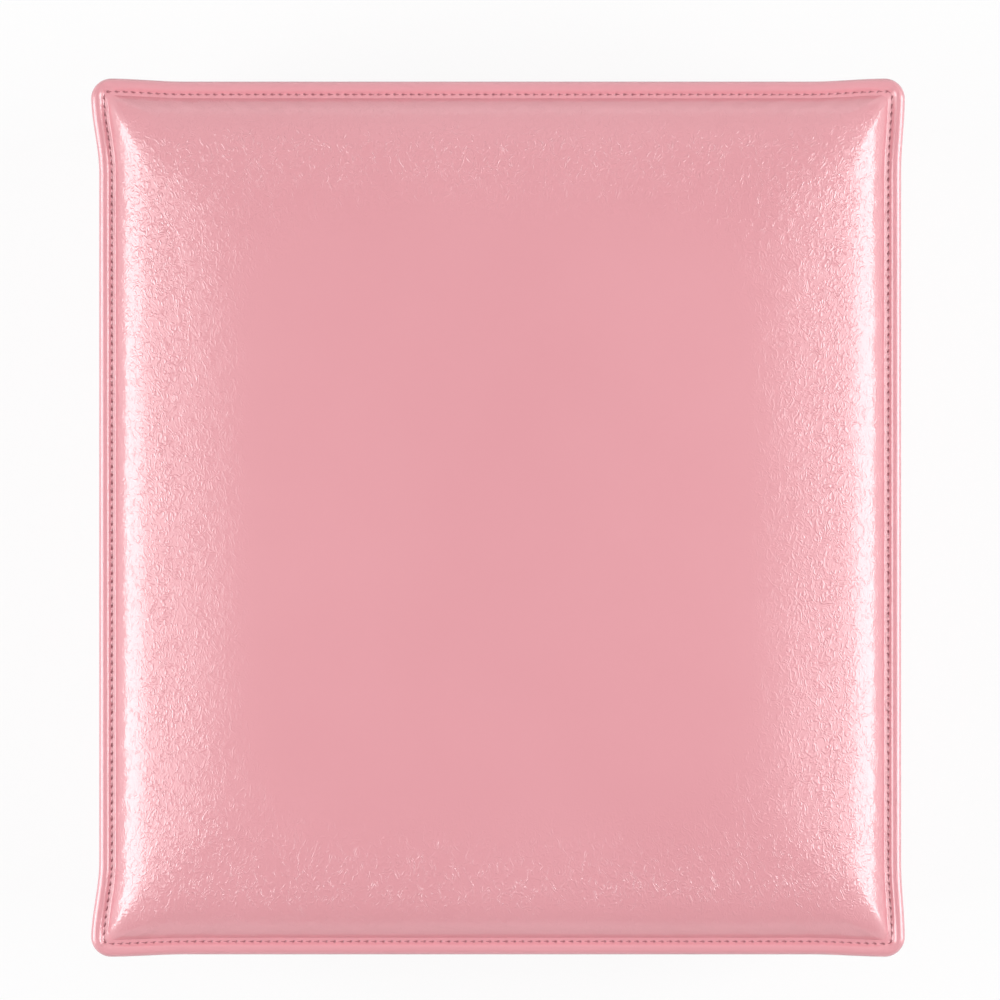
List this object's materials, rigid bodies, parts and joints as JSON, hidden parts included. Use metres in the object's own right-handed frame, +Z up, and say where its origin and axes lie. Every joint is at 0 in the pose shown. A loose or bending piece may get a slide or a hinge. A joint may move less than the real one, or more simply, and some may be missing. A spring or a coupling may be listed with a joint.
{
  "type": "jewellery case",
  "caption": "Leather jewellery case with a padded, top-stitched hinged lid, a mirror inside it, ring rolls and suede lined compartments.",
  "frame": {"origin": "middle of the underside, on the surface that the case stands on", "axes": "+Z up, the hinges at the back (+Y), the side that opens at the front (-Y), +X to the right"},
  "size_m": [0.24, 0.259, 0.0892],
  "materials": {
    "pink_leather": "glazed, fine grained",
    "suede": "napped suede",
    "foam": "open foam",
    "felt": "pressed felt",
    "board": "raw fibreboard",
    "brass": "polished",
    "magnet_nickel": "nickel plated",
    "mirror_glass": "silvered glass"
  },
  "bodies": {
    "base": {"bottom_felt": "felt", "bottom_board": "board", "base_front_board": "board", "base_back_board": "board", "base_left_board": "board", "base_right_board": "board", "base_leather": "pink_leather", "base_lining_floor": "suede", "base_lining_front": "suede", "base_lining_back": "suede", "base_lining_left": "suede", "base_lining_right": "suede", "divider_front": "suede", "divider_middle": "suede", "divider_side": "suede", "ring_roll_1": "suede", "ring_roll_2": "suede", "ring_roll_3": "suede", "ring_roll_4": "suede", "ring_roll_5": "suede", "base_magnets": "magnet_nickel", "hinge_base_leaf_left": "brass", "hinge_base_leaf_right": "brass", "hinge_pin_left": "brass", "hinge_pin_right": "brass", "hinge_base_screws": "brass"},
    "lid": {"lid_top_board": "board", "lid_front_board": "board", "lid_back_board": "board", "lid_left_board": "board", "lid_right_board": "board", "lid_leather": "pink_leather", "lid_pad": "foam", "lid_cover": "pink_leather", "lid_lining_top": "suede", "lid_lining_front": "suede", "lid_lining_back": "suede", "lid_lining_left": "suede", "lid_lining_right": "suede", "mirror_frame": "suede", "mirror": "mirror_glass", "lid_magnets": "magnet_nickel", "hinge_lid_leaf_left": "brass", "hinge_lid_leaf_right": "brass", "hinge_lid_screws": "brass"}
  },
  "joints": [
    {"name": "lid_hinge", "type": "hinge", "parent": "base", "child": "lid", "pos_m": [0, 0.12015, 0.0523], "axis": [-1, 0, 0], "range_deg": [0, 100]}
  ]
}
